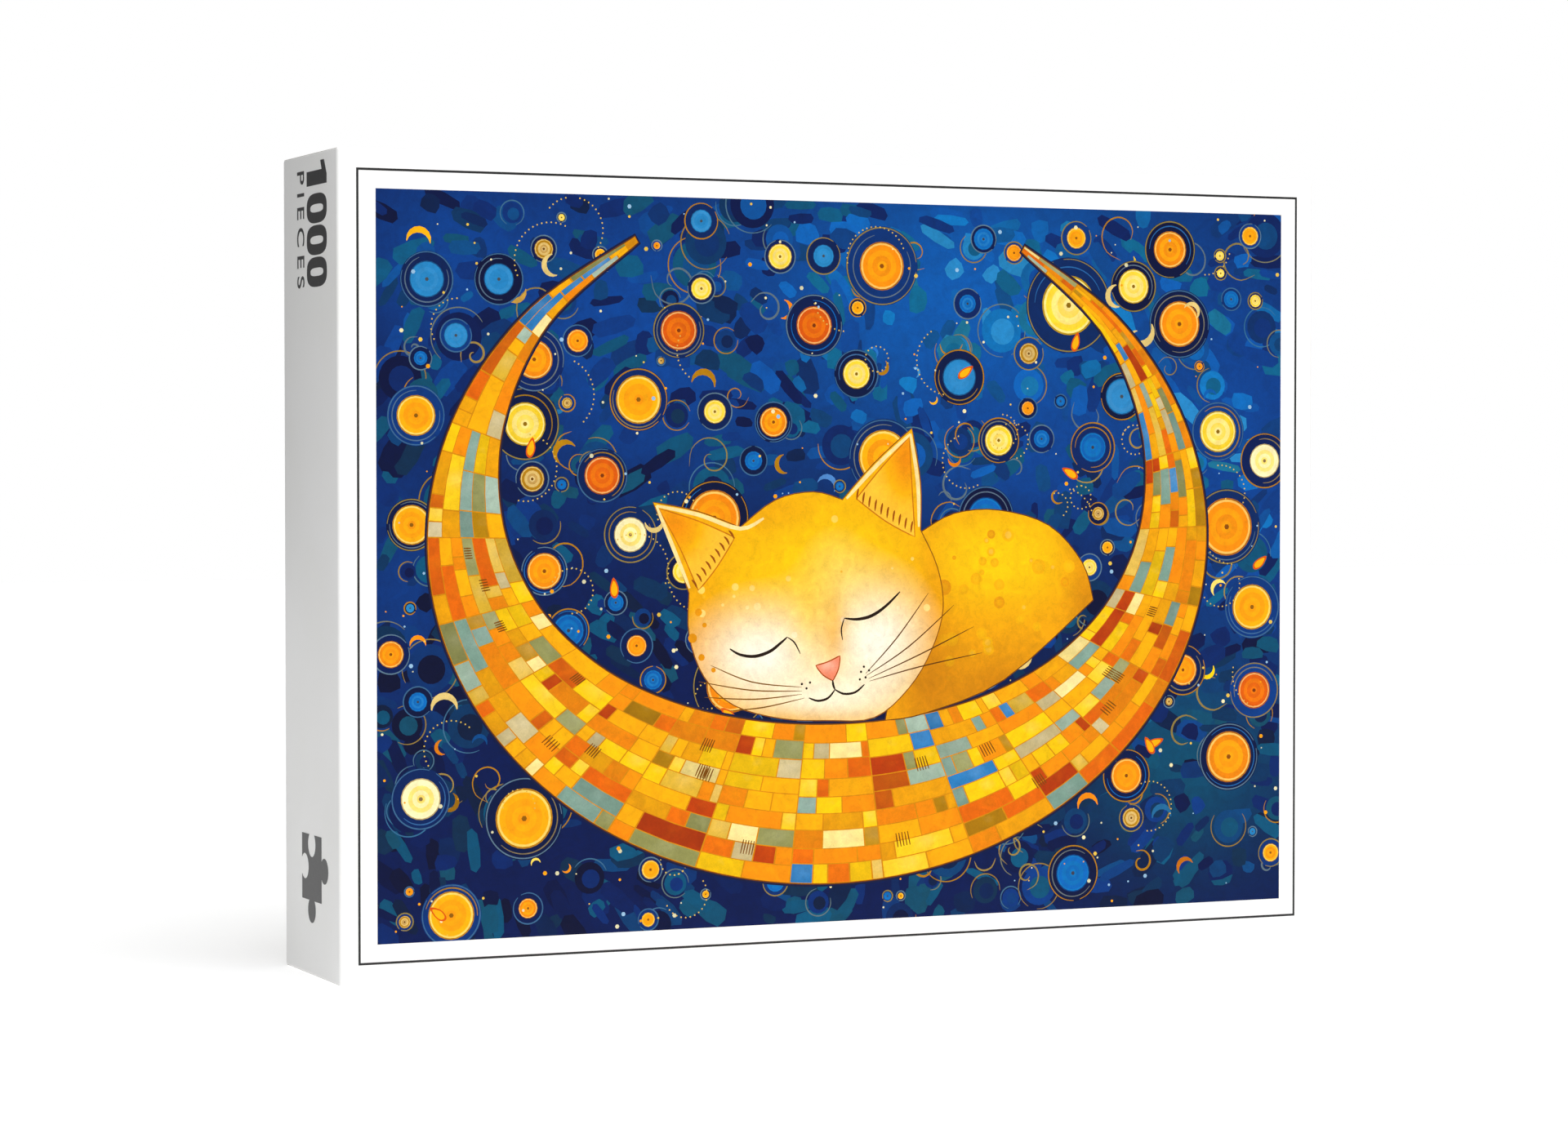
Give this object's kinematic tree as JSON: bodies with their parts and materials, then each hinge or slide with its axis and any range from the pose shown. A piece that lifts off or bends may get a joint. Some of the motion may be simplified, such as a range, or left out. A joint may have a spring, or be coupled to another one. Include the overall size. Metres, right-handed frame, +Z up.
{
  "type": "boxed jigsaw puzzle",
  "caption": "Flat rectangular puzzle box standing on its long edge: a full-depth telescoping lid, a tray inside it, and a sealed bag of loose interlocking picture pieces.",
  "frame": {"origin": "middle of the long edge face that the box stands on, which is the bottom centre of the whole object", "axes": "+Z up, X along the box's width, and the front of the lid faces -Y, so the lid comes off along -Y"},
  "size_m": [0.336, 0.055, 0.25],
  "materials": {
    "printed_wrap_paper": "printed and matt laminated",
    "plain_wrap_paper": "plain uncoated",
    "greyboard": "raw pressed greyboard",
    "kraft_stay_tape": "gummed kraft",
    "clear_bag_film": "clear crinkled film",
    "puzzle_board": "die-cut chipboard, picture on one face"
  },
  "bodies": {
    "tray": {"tray_board": "greyboard", "tray_wrap_panel": "plain_wrap_paper", "tray_wrap_left": "plain_wrap_paper", "tray_wrap_right": "plain_wrap_paper", "tray_wrap_bottom": "plain_wrap_paper", "tray_wrap_top": "plain_wrap_paper", "tray_corner_stay_lower_left": "kraft_stay_tape", "tray_corner_stay_lower_right": "kraft_stay_tape", "tray_corner_stay_upper_left": "kraft_stay_tape", "tray_corner_stay_upper_right": "kraft_stay_tape"},
    "lid": {"lid_board": "greyboard", "lid_wrap_panel": "printed_wrap_paper", "lid_wrap_left": "printed_wrap_paper", "lid_wrap_right": "printed_wrap_paper", "lid_wrap_bottom": "printed_wrap_paper", "lid_wrap_top": "printed_wrap_paper", "lid_corner_stay_lower_left": "kraft_stay_tape", "lid_corner_stay_lower_right": "kraft_stay_tape", "lid_corner_stay_upper_left": "kraft_stay_tape", "lid_corner_stay_upper_right": "kraft_stay_tape"},
    "bag": {"bag_film": "clear_bag_film", "puzzle_corner_pieces": "puzzle_board", "puzzle_edge_pieces": "puzzle_board", "puzzle_inner_pieces_01": "puzzle_board", "puzzle_inner_pieces_02": "puzzle_board", "puzzle_inner_pieces_03": "puzzle_board", "puzzle_inner_pieces_04": "puzzle_board", "puzzle_inner_pieces_05": "puzzle_board", "puzzle_inner_pieces_06": "puzzle_board", "puzzle_inner_pieces_07": "puzzle_board", "puzzle_inner_pieces_08": "puzzle_board"}
  },
  "joints": [
    {"name": "lid_lift", "type": "slide", "parent": "tray", "child": "lid", "axis": [0, -1, 0], "range_m": [0, 0.14]},
    {"name": "bag_lift", "type": "slide", "parent": "tray", "child": "bag", "axis": [0, -1, 0], "range_m": [0, 0.07]}
  ],
  "couplings": [
    {"joint": "bag_lift", "follows": "lid_lift", "ratio": 0.5}
  ]
}
